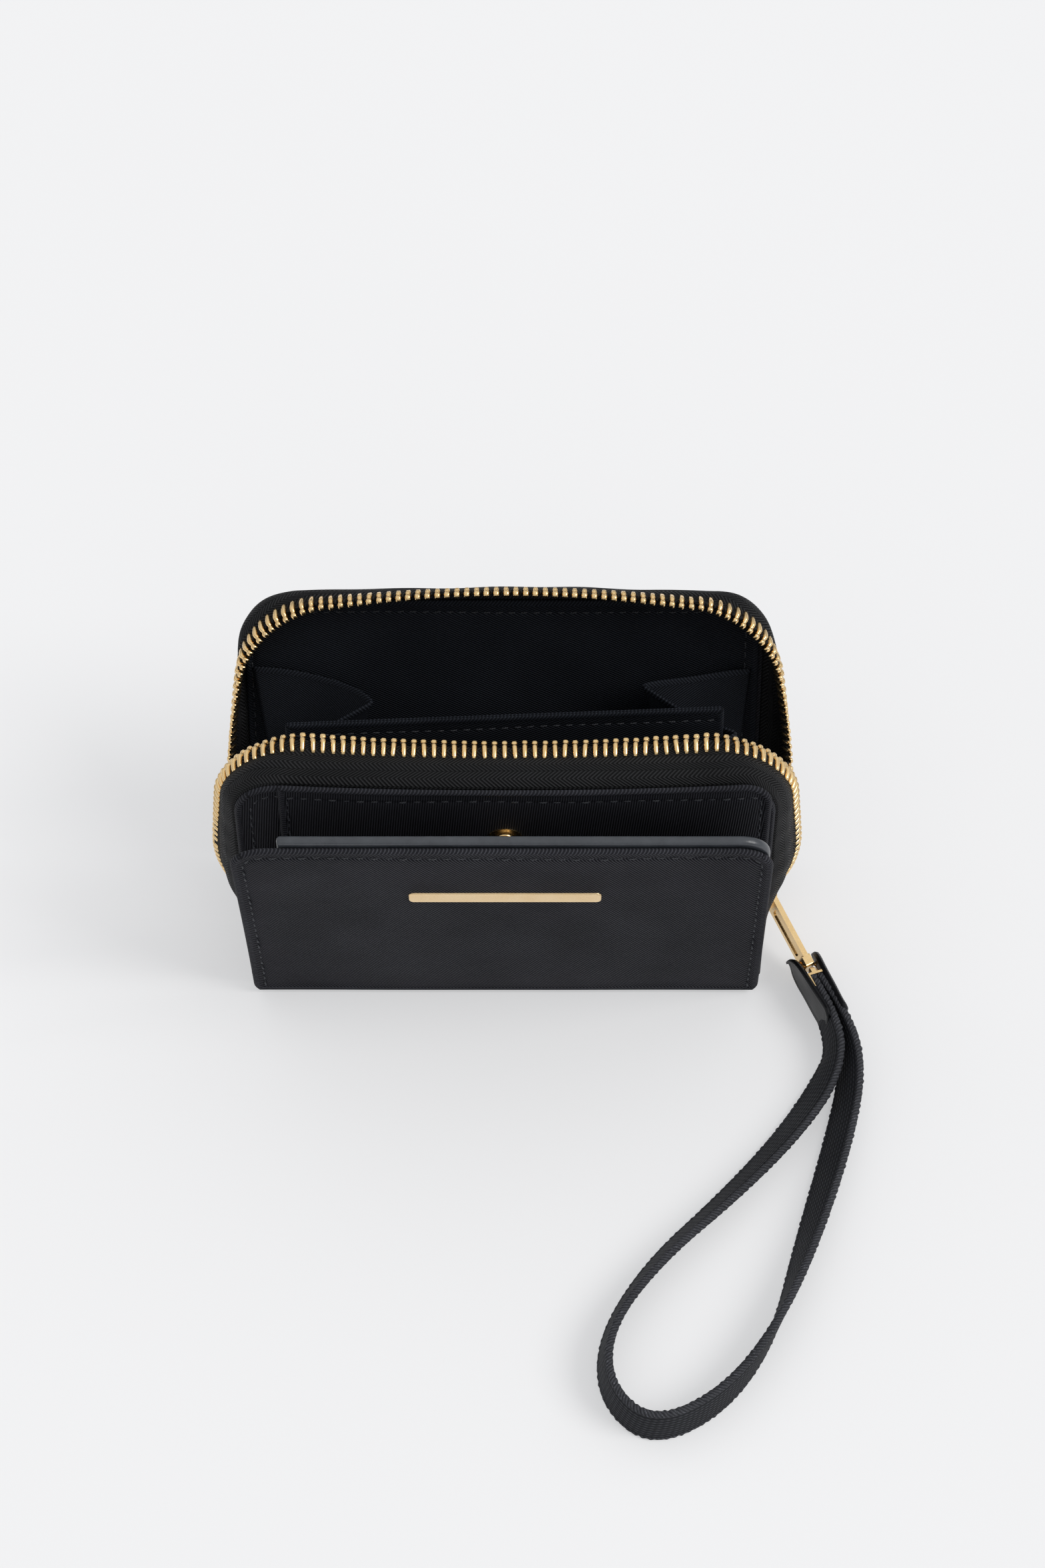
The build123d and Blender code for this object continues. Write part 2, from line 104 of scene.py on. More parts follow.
# ---- materials
class Graph:
    """A short way to write a material's nodes."""

    def __init__(self, name):
        self.material = bpy.data.materials.new(name)
        self.material.use_nodes = True
        self.tree = self.material.node_tree
        self.shader = next(n for n in self.tree.nodes if n.type == "BSDF_PRINCIPLED")

    def node(self, kind, **settings):
        made = self.tree.nodes.new(kind)
        for key, value in settings.items():
            setattr(made, key, value)
        return made

    def put(self, value, socket):
        if isinstance(value, bpy.types.NodeSocket):
            self.tree.links.new(value, socket)
        elif value is not None:
            socket.default_value = value

    def math(self, operation, *values):
        made = self.node("ShaderNodeMath", operation=operation)
        for value, socket in zip(values, made.inputs):
            self.put(value, socket)
        return made.outputs[0]

    def add(self, a, b):
        return self.math("ADD", a, b)

    def times(self, a, b):
        return self.math("MULTIPLY", a, b)

    def wave(self, value, pitch):
        """0 to 1 and back once each pitch."""
        turned = self.math("SINE", self.times(value, 2 * math.pi / pitch))
        return self.add(self.times(turned, 0.5), 0.5)

    def mapped(self, value, low, high, to_low, to_high):
        made = self.node("ShaderNodeMapRange")
        for part, socket in zip((value, low, high, to_low, to_high), made.inputs):
            self.put(part, socket)
        return made.outputs[0]

    def noise(self, vector, scale, detail=2.0, roughness=0.5):
        made = self.node("ShaderNodeTexNoise")
        self.put(vector, made.inputs["Vector"])
        made.inputs["Scale"].default_value = scale
        made.inputs["Detail"].default_value = detail
        made.inputs["Roughness"].default_value = roughness
        return made.outputs[0]

    def mix(self, share, a, b):
        made = self.node("ShaderNodeMix", data_type="RGBA")
        self.put(share, made.inputs[0])
        self.put(a, made.inputs[6])
        self.put(b, made.inputs[7])
        return made.outputs[2]

    def bump(self, height, distance, strength=1.0, normal=None):
        made = self.node("ShaderNodeBump")
        self.put(height, made.inputs["Height"])
        made.inputs["Distance"].default_value = distance
        made.inputs["Strength"].default_value = strength
        self.put(normal, made.inputs["Normal"])
        return made.outputs[0]

    def set(self, **values):
        for key, value in values.items():
            self.put(value, self.shader.inputs[key.replace("_", " ")])

    def cloth_uv(self, layer="weave"):
        """Across and up the cloth, in millimetres."""
        split = self.node("ShaderNodeSeparateXYZ")
        self.tree.links.new(self.node("ShaderNodeUVMap", uv_map=layer).outputs[0], split.inputs[0])
        return split.outputs[0], split.outputs[1]

    def place(self):
        return self.node("ShaderNodeTexCoord").outputs["Object"]


def colour(r, g, b):
    return (r, g, b, 1.0)


# Darkest colour of the cloths, in the grooves of their weave: the cloth's own black, darkened further
# as painted shade in the grooves.
DYE_BLACK_AND_GROOVE_SHADE = colour(0.0008, 0.0009, 0.0014)
ROLLED_EDGE = 1.35


def fabric_finish(graph, weave, dark, light, depth, rough, sheen=0.0, shine=0.06):
    """The yarn, sheen and faint unevenness that all the cloths share."""
    where = graph.place()
    cloudy = graph.noise(where, 60.0, 3.0)
    fuzz = graph.noise(where, 5200.0, 2.0, 0.6)
    # The weave's height also picks the colour: raised threads are painted lighter and the grooves
    # between them darker, painted light and shade over the cloth's own black; the fuzz and the cloudy
    # patches are random tone.
    tone = graph.add(graph.times(weave, 0.78), graph.times(fuzz, 0.22))
    tone = graph.times(tone, graph.mapped(cloudy, 0.3, 0.7, 0.82, 1.12))
    graph.set(
        Base_Color=graph.mix(tone, dark, light),
        Roughness=graph.mapped(weave, 0.0, 1.0, rough + 0.16, rough - 0.06),
        Normal=graph.bump(graph.add(weave, graph.times(fuzz, 0.35)), depth),
        Sheen_Weight=sheen, Sheen_Roughness=0.42, Sheen_Tint=colour(0.75, 0.82, 1.0),
        Specular_IOR_Level=shine,
    )
    return graph.material


def twill_weave(graph, across, up, pitch, angle, thread):
    """Diagonal ribs of twill, each broken into the threads that cross it."""
    turn = math.radians(angle)
    over = graph.add(graph.times(across, math.cos(turn)), graph.times(up, math.sin(turn)))
    along = graph.add(graph.times(across, -math.sin(turn)), graph.times(up, math.cos(turn)))
    rib = graph.math("POWER", graph.wave(over, pitch), 2.1)
    step = graph.math("FLOOR", graph.times(over, 1.0 / pitch))
    bead = graph.wave(graph.add(along, graph.times(step, thread * 0.5)), thread)
    return graph.add(graph.times(rib, 0.7), graph.times(graph.times(rib, bead), 0.3))


def twill(name, pitch, angle, thread, light, depth=1.1e-4, rough=0.5, **finish):
    """Twill whose ribs turn the other way on the rolled edge of a panel."""
    graph = Graph(name)
    across, up = graph.cloth_uv()
    along_edge, inward = graph.cloth_uv("edge")
    field = twill_weave(graph, across, up, pitch, angle, thread)
    rolled = twill_weave(graph, along_edge, inward, 0.62, 38.0, 0.5)
    # The rolled edge's weave is lifted by 0.12, so it is painted a little lighter than its weave alone:
    # painted light on the ridge of the rolled edge.
    rolled = graph.add(graph.times(rolled, 0.9), 0.12)
    is_field = graph.math("GREATER_THAN", inward, ROLLED_EDGE)
    weave = graph.mapped(is_field, 0.0, 1.0, rolled, field)
    return fabric_finish(graph, weave, DYE_BLACK_AND_GROOVE_SHADE, light, depth, rough, **finish)


def herringbone(name, band, pitch, dark, light):
    """Zip tape: bands of slanted ribs that meet in a V."""
    graph = Graph(name)
    along, over = graph.cloth_uv()
    folded = graph.math("PINGPONG", over, band)
    rib = graph.wave(graph.add(along, graph.times(folded, 1.25)), pitch)
    seam = graph.mapped(folded, 0.0, 0.22, 0.35, 1.0)
    weave = graph.times(rib, graph.math("MINIMUM", seam, 1.0))
    return fabric_finish(graph, weave, dark, light, 2.2e-4, 0.55, shine=0.08)


def webbing(name, dark, light):
    """Ribbed webbing: lengthwise cords, each a row of short slanted floats."""
    graph = Graph(name)
    along, over = graph.cloth_uv()
    cord = 0.86
    share = graph.math("PINGPONG", over, cord / 2)
    ridge = graph.math("POWER", graph.times(share, 2.0 / cord), 0.6)
    row = graph.math("FLOOR", graph.times(over, 1.0 / cord))
    slant = graph.add(along, graph.times(over, 0.55))
    floats = graph.wave(graph.add(slant, graph.times(row, 0.62)), 1.25)
    weave = graph.times(ridge, graph.add(graph.times(floats, 0.55), 0.45))
    return fabric_finish(graph, weave, dark, light, 2.8e-4, 0.55, shine=0.07)


def selvedge(name, dark, light):
    """The firm looped edge of the webbing."""
    graph = Graph(name)
    along, over = graph.cloth_uv()
    loops = graph.wave(graph.add(along, graph.times(over, 0.7)), 0.8)
    # Sparse bright specks on the loops' tops are painted glints; elsewhere the loops are only faintly
    # lighter than the gaps between them, painted light and shade.
    painted_glints = graph.mapped(graph.noise(graph.place(), 1500.0, 2.0, 0.6), 0.55, 0.72, 0.0, 1.0)
    lit = graph.times(loops, graph.add(graph.times(painted_glints, 0.75), 0.25))
    return fabric_finish(graph, lit, dark, light, 2.2e-4, 0.45, 0.0, 0.15)


def thread(name, dark, light):
    graph = Graph(name)
    along, over = graph.cloth_uv()
    ply = graph.wave(graph.add(along, graph.times(over, 0.8)), 0.55)
    return fabric_finish(graph, ply, dark, light, 5e-5, 0.42, 0.1, 0.35)


def leather(name, dark, light, rough=0.36, shine=0.5, coat=0.25):
    """Smooth dyed leather with a fine grain, creases and a cloudy tone between the two colours given.
    """
    graph = Graph(name)
    where = graph.place()
    cells = graph.node("ShaderNodeTexVoronoi")
    graph.put(where, cells.inputs["Vector"])
    cells.inputs["Scale"].default_value = 2300.0
    grain = graph.mapped(cells.outputs["Distance"], 0.0, 0.75, 0.0, 1.0)
    creases = graph.noise(where, 420.0, 4.0, 0.6)
    cloudy = graph.noise(where, 90.0, 2.0)
    tone = graph.mapped(graph.add(creases, graph.times(cloudy, 0.6)), 0.5, 1.1, 0.0, 1.0)
    graph.set(
        Base_Color=graph.mix(tone, dark, light),
        Roughness=graph.mapped(cloudy, 0.3, 0.7, rough - 0.05, rough + 0.09),
        Normal=graph.bump(creases, 3.5e-5, normal=graph.bump(grain, 1.2e-5)),
        Coat_Weight=coat, Coat_Roughness=0.3, Specular_IOR_Level=shine,
    )
    return graph.material


def gold(name, base, rough=0.17):
    """Polished plating with faint handling marks."""
    graph = Graph(name)
    where = graph.place()
    cloudy = graph.noise(where, 260.0, 3.0)
    scratch = graph.noise(where, 1900.0, 2.0, 0.7)
    worn = colour(base[0] * 0.9, base[1] * 0.82, base[2] * 0.7)
    graph.set(
        Base_Color=graph.mix(cloudy, base, worn),
        Roughness=graph.mapped(scratch, 0.35, 0.75, rough, rough + 0.14),
        Normal=graph.bump(scratch, 6e-6), Metallic=1.0,
    )
    return graph.material


def board(name):
    """Grey fibre board of the hidden stiffeners."""
    graph = Graph(name)
    fibre = graph.noise(graph.place(), 900.0, 4.0, 0.7)
    graph.set(
        Base_Color=graph.mix(fibre, colour(0.2, 0.19, 0.17), colour(0.4, 0.38, 0.34)),
        Normal=graph.bump(fibre, 4e-5), Roughness=0.85,
    )
    return graph.material


mat_flap = twill(
    "flap_twill", 0.61, 36.0, 0.42, colour(0.082, 0.083, 0.097), rough=0.46, depth=2.0e-4, shine=0.03
)
mat_panel = twill("panel_twill", 0.52, -4.0, 0.55, colour(0.055, 0.056, 0.067), shine=0.05)
mat_lining = twill("lining_twill", 0.52, 62.0, 0.36, colour(0.033, 0.037, 0.047), shine=0.03)
mat_tape = herringbone(
    "zip_tape_weave", 1.75, 0.92, colour(0.0006, 0.0007, 0.0008), colour(0.032, 0.0325, 0.0345)
)
mat_webbing = webbing("strap_webbing", DYE_BLACK_AND_GROOVE_SHADE, colour(0.058, 0.061, 0.07))
mat_selvedge = selvedge(
    "strap_selvedge", colour(0.0015, 0.0018, 0.0025), colour(0.17, 0.175, 0.2)
)
mat_thread = thread("sewing_thread", colour(0.004, 0.0045, 0.0055), colour(0.038, 0.04, 0.048))
# The edge leather's colours are set well above the near-black tab leather: its own dark tone plus a
# painted highlight on the band's top face.
mat_leather = leather("edge_leather", colour(0.03, 0.034, 0.041), colour(0.05, 0.056, 0.066), 0.3)
mat_tab = leather(
    "tab_leather", colour(0.004, 0.0044, 0.0052), colour(0.01, 0.0105, 0.0125), 0.4, 0.2, 0.04
)
mat_gold = gold("pale_gold", colour(0.95, 0.71, 0.38))
mat_gold_soft = gold("satin_gold", colour(0.94, 0.74, 0.46), 0.26)
mat_board = board("fibre_board")


# ---- mesh making
def made_mesh(name, points, faces, layers, material, outward=True):
    """A smooth mesh from points in millimetres, with a UV layer for each entry of layers."""
    mesh = bpy.data.meshes.new(name)
    whole = [tuple(int(i) for i in face) for face in faces]
    mesh.from_pydata((np.asarray(points) * MM).tolist(), [], whole)
    if outward:
        work = bmesh.new()
        work.from_mesh(mesh)
        bmesh.ops.recalc_face_normals(work, faces=work.faces)
        work.to_mesh(mesh)
        work.free()
    used = np.empty(len(mesh.loops), np.int64)
    mesh.loops.foreach_get("vertex_index", used)
    for layer_name, values in layers.items():
        layer = mesh.uv_layers.new(name=layer_name)
        layer.data.foreach_set("uv", np.asarray(values, np.float32)[used].ravel())
    mesh.polygons.foreach_set("use_smooth", np.ones(len(mesh.polygons), bool))
    mesh.update()
    mesh.materials.append(material)
    made = bpy.data.objects.new(name, mesh)
    scene.collection.objects.link(made)
    return made


def quads(index):
    """Faces of a grid of vertex numbers."""
    parts = (index[:-1, :-1], index[:-1, 1:], index[1:, 1:], index[1:, :-1])
    return np.stack(parts, -1).reshape(-1, 4)


def closed_sheet(name, front, back, layers, material):
    """A closed skin from two grids of points that meet along their border."""
    rows, columns = front.shape[:2]
    ahead = np.arange(rows * columns).reshape(rows, columns)
    inner = np.zeros((rows, columns), bool)
    inner[1:-1, 1:-1] = True
    behind = ahead.copy()
    behind[inner] = rows * columns + np.arange(inner.sum())
    points = np.vstack([front.reshape(-1, 3), back[inner]])
    faces = np.vstack([quads(ahead), quads(behind)[:, ::-1]])
    on_points = {k: np.vstack([v.reshape(-1, 2), v[inner]]) for k, v in layers.items()}
    return made_mesh(name, points, faces, on_points, material)


def tubes(count, rings, sides):
    """Faces of that many equal tubes with closed ends."""
    faces = []
    for first in range(0, count * rings * sides, rings * sides):
        index = first + np.arange(rings * sides).reshape(rings, sides)
        faces += [tuple(f) for f in quads(np.hstack([index, index[:, :1]]))]
        faces += [tuple(index[0][::-1]), tuple(index[-1])]
    return faces


def swept(name, rings, layer, material):
    """A closed skin over rings of points. layer holds a (u, v) per ring point."""
    faces = tubes(1, *rings.shape[:2])
    return made_mesh(name, rings.reshape(-1, 3), faces, {"weave": layer.reshape(-1, 2)}, material)


EDGE_STEPS = (0, 0.1, 0.25, 0.45, 0.7, 1, 1.4, 1.8, 2.2, 2.6, 3, 3.4, 3.8, 4.2, 4.8, 5.6, 6.6, 8)


def spread(low, high, spacing=2.0):
    """Positions from low to high, close together near both ends."""
    near = [low + step for step in EDGE_STEPS]
    far = [high - step for step in reversed(EDGE_STEPS)]
    count = max(2, round((far[0] - near[-1]) / spacing))
    return np.array([*near, *np.linspace(near[-1], far[0], count + 1)[1:-1], *far])


def leaning(hinge_y, degrees, yaw=0.0):
    """Places (across, up, out) of a leaning plane on a line along X; out is to the front."""
    tilt, turn = math.radians(degrees), math.radians(yaw)
    c, s = math.cos(turn), math.sin(turn)
    spin = np.array([[c, -s, 0], [s, c, 0], [0, 0, 1]])
    across = spin @ X_AXIS
    up = spin @ np.array([0, math.sin(tilt), math.cos(tilt)])
    out = spin @ np.array([0, -math.cos(tilt), math.sin(tilt)])
    origin = np.array([0, hinge_y, 0])

    def at(u, v, w):
        u, v, w = np.broadcast_arrays(u, v, w)
        return origin + u[..., None] * across + v[..., None] * up + w[..., None] * out

    at.out = out
    return at


def warped(place, move):
    """The same plane, with each (u, v, w) moved first."""

    def at(u, v, w):
        return place(*move(*np.broadcast_arrays(u, v, w)))

    at.out = place.out
    return at


def shifted(place, offset):
    """The same plane moved outwards."""
    return warped(place, lambda u, v, w: (u, v, w + offset))


def near_line(u, v, line):
    """Distance from each (u, v) to a line of points close together."""
    flat = np.stack([np.ravel(u), np.ravel(v)], -1)
    best = np.full(len(flat), 1e9)
    for start in range(0, len(line), 200):
        part = line[start:start + 200]
        gap = np.linalg.norm(flat[:, None, :] - part[None, :, :], axis=2).min(1)
        best = np.minimum(best, gap)
    return best.reshape(np.shape(u))


def evenly(line, pitch):
    """Points at equal steps along a line, and their directions."""
    run = run_of(line)
    count = max(2, int(round(run[-1] / pitch)))
    at = (np.arange(count) + 0.5) * run[-1] / count
    step = min(pitch, run[-1]) * 0.25

    def spots(where):
        return np.stack([np.interp(where, run, line[:, k]) for k in range(line.shape[1])], -1)

    return spots(at), unit(spots(at + step) - spots(at - step))


def stitch_mesh(name, spots, along, out, length=2.1, radius=0.21):
    """Short thread stitches that dip into the cloth at both ends."""
    stations = np.linspace(-1, 1, 7)
    angles = np.arange(6) * math.pi / 3
    beside = unit(np.cross(out, along))
    skew = np.clip(rng.normal(0.1, 0.05, len(spots)), -0.05, 0.25)[:, None]
    along = unit(along + beside * skew)
    beside = unit(np.cross(out, along))
    half = length / 2 * rng.normal(1, 0.05, len(spots))[:, None]
    points, uvs = [], []
    for s in stations:
        thick = radius * math.sqrt(max(0.0, 1 - abs(s) ** 3.5)) + 0.02
        middle = spots + along * half * s + out * (0.1 - 0.26 * s * s)
        for a in angles:
            points.append(middle + beside * math.cos(a) * thick + out * math.sin(a) * thick)
            uvs.append(np.stack([s * half[:, 0], np.full(len(spots), a * radius)], -1))
    points = np.stack(points, 1).reshape(-1, 3)
    layer = np.stack(uvs, 1).reshape(-1, 2)
    faces = tubes(len(spots), len(stations), len(angles))
    return made_mesh(name, points, faces, {"weave": layer}, mat_thread)


class Panel:
    """A sewn sheet on a plane: rolled edges, seams that pull in, and fullness between them."""

    def __init__(self, place, left, right, foot, top, corners, thick, roll, puff, warp=None):
        self.place, self.left, self.right, self.foot, self.top = place, left, right, foot, top
        self.corners, self.thick, self.roll, self.puff = corners, thick, roll, puff
        self.warp = warp or (lambda u, v: 0.0 * u)
        self.seams = []

    def edge_line(self, inset_left, inset_top, inset_right, bottom=1.0):
        """The outline inside the edge: up the left, over the top and down the right."""
        points = []
        sides = ((-1, self.corners[0], inset_left), (1, self.corners[1], inset_right))
        for side, corner, inset in sides:
            wall = self.left + inset if side < 0 else self.right - inset
            radius = max(0.25, corner - max(inset, inset_top))
            top = self.top - inset_top
            turn = [
                (wall - side * radius * (1 - math.cos(a)), top - radius + radius * math.sin(a))
                for a in np.linspace(0, math.pi / 2, 14)
            ]
            rise = [(wall, v) for v in np.linspace(self.foot + bottom, top - radius, 60)]
            branch = rise + turn
            points.append(branch if side < 0 else branch[::-1])
        first, last = points
        bridge = np.linspace(first[-1], last[0], 120)[1:-1]
        return np.vstack([first, bridge, last])

    def distance(self, u, v):
        """How far inside the edge a point is."""
        best = v - self.foot
        for side, corner in ((-1, self.corners[0]), (1, self.corners[1])):
            wall = u - self.left if side < 0 else self.right - u
            over = corner - wall
            above = v - (self.top - corner)
            straight = np.minimum(wall, self.top - v)
            rounded = corner - np.hypot(np.maximum(over, 0), np.maximum(above, 0))
            best = np.minimum(best, np.where((over > 0) & (above > 0), rounded, straight))
        return np.maximum(best, 0)

    def skin(self, u, v, side):
        d = self.distance(u, v)
        half = self.thick / 2
        round_edge = rounding(d / 0.55)
        height = half * round_edge
        if side > 0:
            height = height + self.roll * round_edge * bell(d, 0.75, 0.6)
            for line, depth in self.seams:
                height = height - depth * bell(near_line(u, v, line), 0.0, 0.42) * (d > 0.3)
            height = height + self.puff * (1 - np.exp(-np.maximum(d - 2.5, 0) / 5.0))
        return side * height + self.warp(u, v) * np.minimum(d / 3.0, 1.0)

    def grid(self):
        v = spread(self.foot, self.top)
        u = spread(self.left, self.right)
        middle = (self.left + self.right) / 2
        half = (self.right - self.left) / 2
        reach = []
        for corner in self.corners:
            rise = np.clip(v - (self.top - corner), 0, corner)
            reach.append(half - corner + np.sqrt(np.maximum(corner**2 - rise**2, 0)))
        share = (u - middle)[None, :] / half
        across = share * np.where(share < 0, reach[0][:, None], reach[1][:, None]) + middle
        return across, np.repeat(v[:, None], len(u), 1)

    def build(self, name, material, flip=False):
        u, v = self.grid()
        sign = -1 if flip else 1
        front = self.place(u, v, self.skin(u, v, 1) * sign)
        back = self.place(u, v, self.skin(u, v, -1) * sign)
        d = self.distance(u, v)
        on_top = (self.top - v) < np.minimum(u - self.left, self.right - u)
        edge = np.stack([np.where(on_top, u, v), d], -1)
        layers = {"weave": np.stack([u, v], -1), "edge": edge}
        return closed_sheet(name, front, back, layers, material)

    def stitches(self, name, line, pitch=2.95, flip=False, **sizes):
        spots, along = evenly(line, pitch)
        u, v = spots.T
        sign = -1 if flip else 1
        height = self.skin(u, v, 1) * sign
        here = self.place(u, v, height)
        ahead = self.place(u + along[:, 0] * 0.3, v + along[:, 1] * 0.3, height)
        out = np.broadcast_to(self.place.out * sign, here.shape)
        return stitch_mesh(name, here, unit(ahead - here), out, **sizes)


def ripples(amount, length, seed):
    """A gentle unevenness of cloth."""
    source = np.random.default_rng(seed)
    waves = [
        (source.uniform(0.6, 1.6), source.uniform(0, math.tau), source.uniform(0, math.pi))
        for _ in range(5)
    ]

    def warp(u, v):
        total = 0.0 * u
        for scale, phase, heading in waves:
            run = u * math.cos(heading) + v * math.sin(heading)
            total = total + np.sin(run * math.tau / (length * scale) + phase)
        return amount * total / len(waves) * 2

    return warp


# ---- wrist strap
# The route of part.py, with each point's lean in degrees: the webbing stands on its lower edge
# and leans towards +X on both sides of the loop.
WEB_HALF = 4.6
WEB_THICK = 1.7
strap_route = [
    (68.2, -23.0, 0), (73.4, -35.5, 8), (70.2, -48.3, 44), (61.1, -62.9, 43),
    (48.0, -78.6, 38), (31.6, -95.4, 31), (20.9, -113.1, 16), (20.7, -127.9, 5),
    (30.2, -137.6, 0), (45.3, -129.6, 0), (57.0, -112.3, -8), (65.0, -88.1, -35),
    (72.4, -63.3, -40), (76.0, -46.4, -31), (74.9, -33.4, -8), (69.8, -22.4, 0),
]


def spline_points(controls):
    """The line of an open NURBS spline, in its control points' units."""
    curve = bpy.data.curves.new("route", "CURVE")
    curve.dimensions = "3D"
    spline = curve.splines.new("NURBS")
    spline.points.add(len(controls) - 1)
    for point, at in zip(spline.points, controls):
        point.co = (*at, 1.0)
    spline.order_u = 3
    spline.use_endpoint_u = True
    spline.resolution_u = 40
    holder = bpy.data.objects.new("route", curve)
    scene.collection.objects.link(holder)
    mesh = bpy.data.meshes.new_from_object(holder)
    line = np.array([v.co for v in mesh.vertices], float)
    bpy.data.objects.remove(holder)
    bpy.data.meshes.remove(mesh)
    bpy.data.curves.remove(curve)
    return line


def standing_height(lean):
    """Height of the webbing's middle where it stands on its edge at that lean."""
    tilt = np.radians(np.abs(lean))
    return (WEB_HALF + 0.15) * np.cos(tilt) + WEB_THICK / 2 * np.sin(tilt)


route_mm = [(x, y, float(standing_height(lean))) for x, y, lean in strap_route]
strap_line = spline_points([(x * MM, y * MM, z * MM) for x, y, z in route_mm]) / MM
strap_lean = spline_points([(x * MM, y * MM, lean * MM) for x, y, lean in strap_route])[:, 2] / MM
strap_run = run_of(strap_line)


def along_strap(step):
    """Distance, place, up and face of the webbing at equal steps."""
    at = np.linspace(0, strap_run[-1], int(strap_run[-1] / step) + 1)
    here = np.stack([np.interp(at, strap_run, strap_line[:, k]) for k in range(3)], -1)
    lean = np.radians(np.interp(at, strap_run, strap_lean))
    ahead = unit(np.gradient(here, axis=0) * np.array([1, 1, 0]))
    kernel = np.ones(7) / 7
    for k in range(3):
        ahead[3:-3, k] = np.convolve(ahead[:, k], kernel, "valid")
    ahead = unit(ahead)
    beside = np.stack([-ahead[:, 1], ahead[:, 0], 0 * ahead[:, 0]], -1)
    up = Z_AXIS * np.cos(lean)[:, None] + beside * np.sin(lean)[:, None]
    face = np.cross(ahead, up)
    return at, here, up, face


def web_profile(t):
    """Thickness across the webbing's face, thin where it meets its selvedges."""
    bulge = 0.72 + 0.28 * math.sin(math.pi * t) ** 0.5 if 0 < t < 1 else 0.7
    return WEB_THICK * bulge


def webbing_strip(name):
    """The webbing's woven middle, between its selvedges."""
    at, here, up, face = along_strap(0.32)
    half = WEB_HALF - 0.45
    rings, layers = [], []
    for sign in (1, -1):
        for t in np.linspace(0, 1, 13)[::sign]:
            height = 2 * half * t - half
            rings.append(here + up * height + face * (sign * web_profile(t) / 2))
            layers.append(np.stack([at, np.full(len(at), height + (20.0 if sign < 0 else 0.0))], -1))
    return swept(name, np.stack(rings, 1), np.stack(layers, 1), mat_webbing)


wrist_webbing = webbing_strip("wrist_webbing")


def selvedge_cord(name, side):
    """A looped cord along one edge of the webbing."""
    at, here, up, face = along_strap(0.2)
    beat = np.sin(at * math.tau / 1.62 + 1.1 * np.sin(at / 7.3) + side)
    beat = beat * (0.45 + 0.3 * np.sin(at * 0.83 + side) + 0.25 * np.sin(at * 2.31))
    middle = here + up * (side * (WEB_HALF - 0.42 + 0.15 * beat))[:, None]
    rings, layers = [], []
    for a in np.arange(10) * math.tau / 10:
        wide = (WEB_THICK / 2 + 0.02 + 0.1 * beat) * math.cos(a)
        tall = (0.56 + 0.07 * beat) * math.sin(a)
        rings.append(middle + face * wide[:, None] + up * tall[:, None])
        layers.append(np.stack([at, np.full(len(at), a * 0.8)], -1))
    return swept(name, np.stack(rings, 1), np.stack(layers, 1), mat_selvedge)


selvedges = [
    selvedge_cord("wrist_selvedge_upper", 1),
    selvedge_cord("wrist_selvedge_lower", -1),
]
for piece in [wrist_webbing, *selvedges]:
    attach(piece, "strap")
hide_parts("wrist_strap")

# ---- camera, floor and light
camera_data = bpy.data.cameras.new("camera")
camera = bpy.data.objects.new("camera", camera_data)
camera.location = (0.0037, -0.5615, 0.717)
camera.rotation_euler = (math.radians(40.0), 0.0, 0.0)
camera_data.lens = 91.84
camera_data.sensor_width = 36.0
camera_data.clip_start = 0.01
scene.collection.objects.link(camera)
scene.camera = camera


SOFT_WHITE = colour(0.985, 0.99, 1.0)


def floor_material():
    graph = Graph("floor_paper")
    where = graph.place()
    soft = graph.noise(where, 3.0, 2.0)
    graph.set(
        Base_Color=graph.mix(soft, colour(0.46, 0.46, 0.465), colour(0.48, 0.48, 0.485)),
        Emission_Color=SOFT_WHITE, Emission_Strength=0.43, Specular_IOR_Level=0.1,
        Normal=graph.bump(graph.noise(where, 900.0, 3.0), 1e-5), Roughness=0.75,
    )
    return graph.material


def floor_piece():
    half_size, steps, drop = 9.0, 12, 0.02
    span = np.linspace(-half_size, half_size, steps) / MM
    u, v = np.meshgrid(span, span)
    points = np.stack([u, v, np.full_like(u, -drop)], -1).reshape(-1, 3)
    index = np.arange(steps * steps).reshape(steps, steps)
    return made_mesh("studio_floor", points, quads(index), {}, floor_material(), outward=False)


floor_piece()


sun_data = bpy.data.lights.new("window_light", "SUN")
sun_data.energy = 1.35
sun_data.angle = math.radians(30.0)
sun_data.color = (1.0, 0.99, 0.97)
sun = bpy.data.objects.new("window_light", sun_data)
sun.rotation_euler = (math.radians(47.0), 0.0, math.radians(70.0))
scene.collection.objects.link(sun)

world = bpy.data.worlds.new("studio")
scene.world = world
world.use_nodes = True
nodes, wires = world.node_tree.nodes, world.node_tree.links
background = next(n for n in nodes if n.type == "BACKGROUND")
sky = nodes.new("ShaderNodeValToRGB")
parts_of = nodes.new("ShaderNodeSeparateXYZ")
wires.new(nodes.new("ShaderNodeTexCoord").outputs["Generated"], parts_of.inputs[0])
wires.new(parts_of.outputs["Z"], sky.inputs[0])
wires.new(sky.outputs[0], background.inputs[0])
horizon, zenith = sky.color_ramp.elements
horizon.position, horizon.color = 0.08, colour(0.27, 0.275, 0.29)
zenith.position, zenith.color = 0.62, SOFT_WHITE
background.inputs[1].default_value = 0.79
scene.view_settings.view_transform = "Standard"
scene.view_settings.look = "None"

# ---- the two halves and the flap
front_high = corners_of("front_panel")[1]
flap_low, flap_high = corners_of("flap_panel")
slot_low, slot_high = corners_of("flap_slot_panel")
pocket_low, pocket_high = corners_of("card_pocket")
base_low, base_high = corners_of("base_panel")

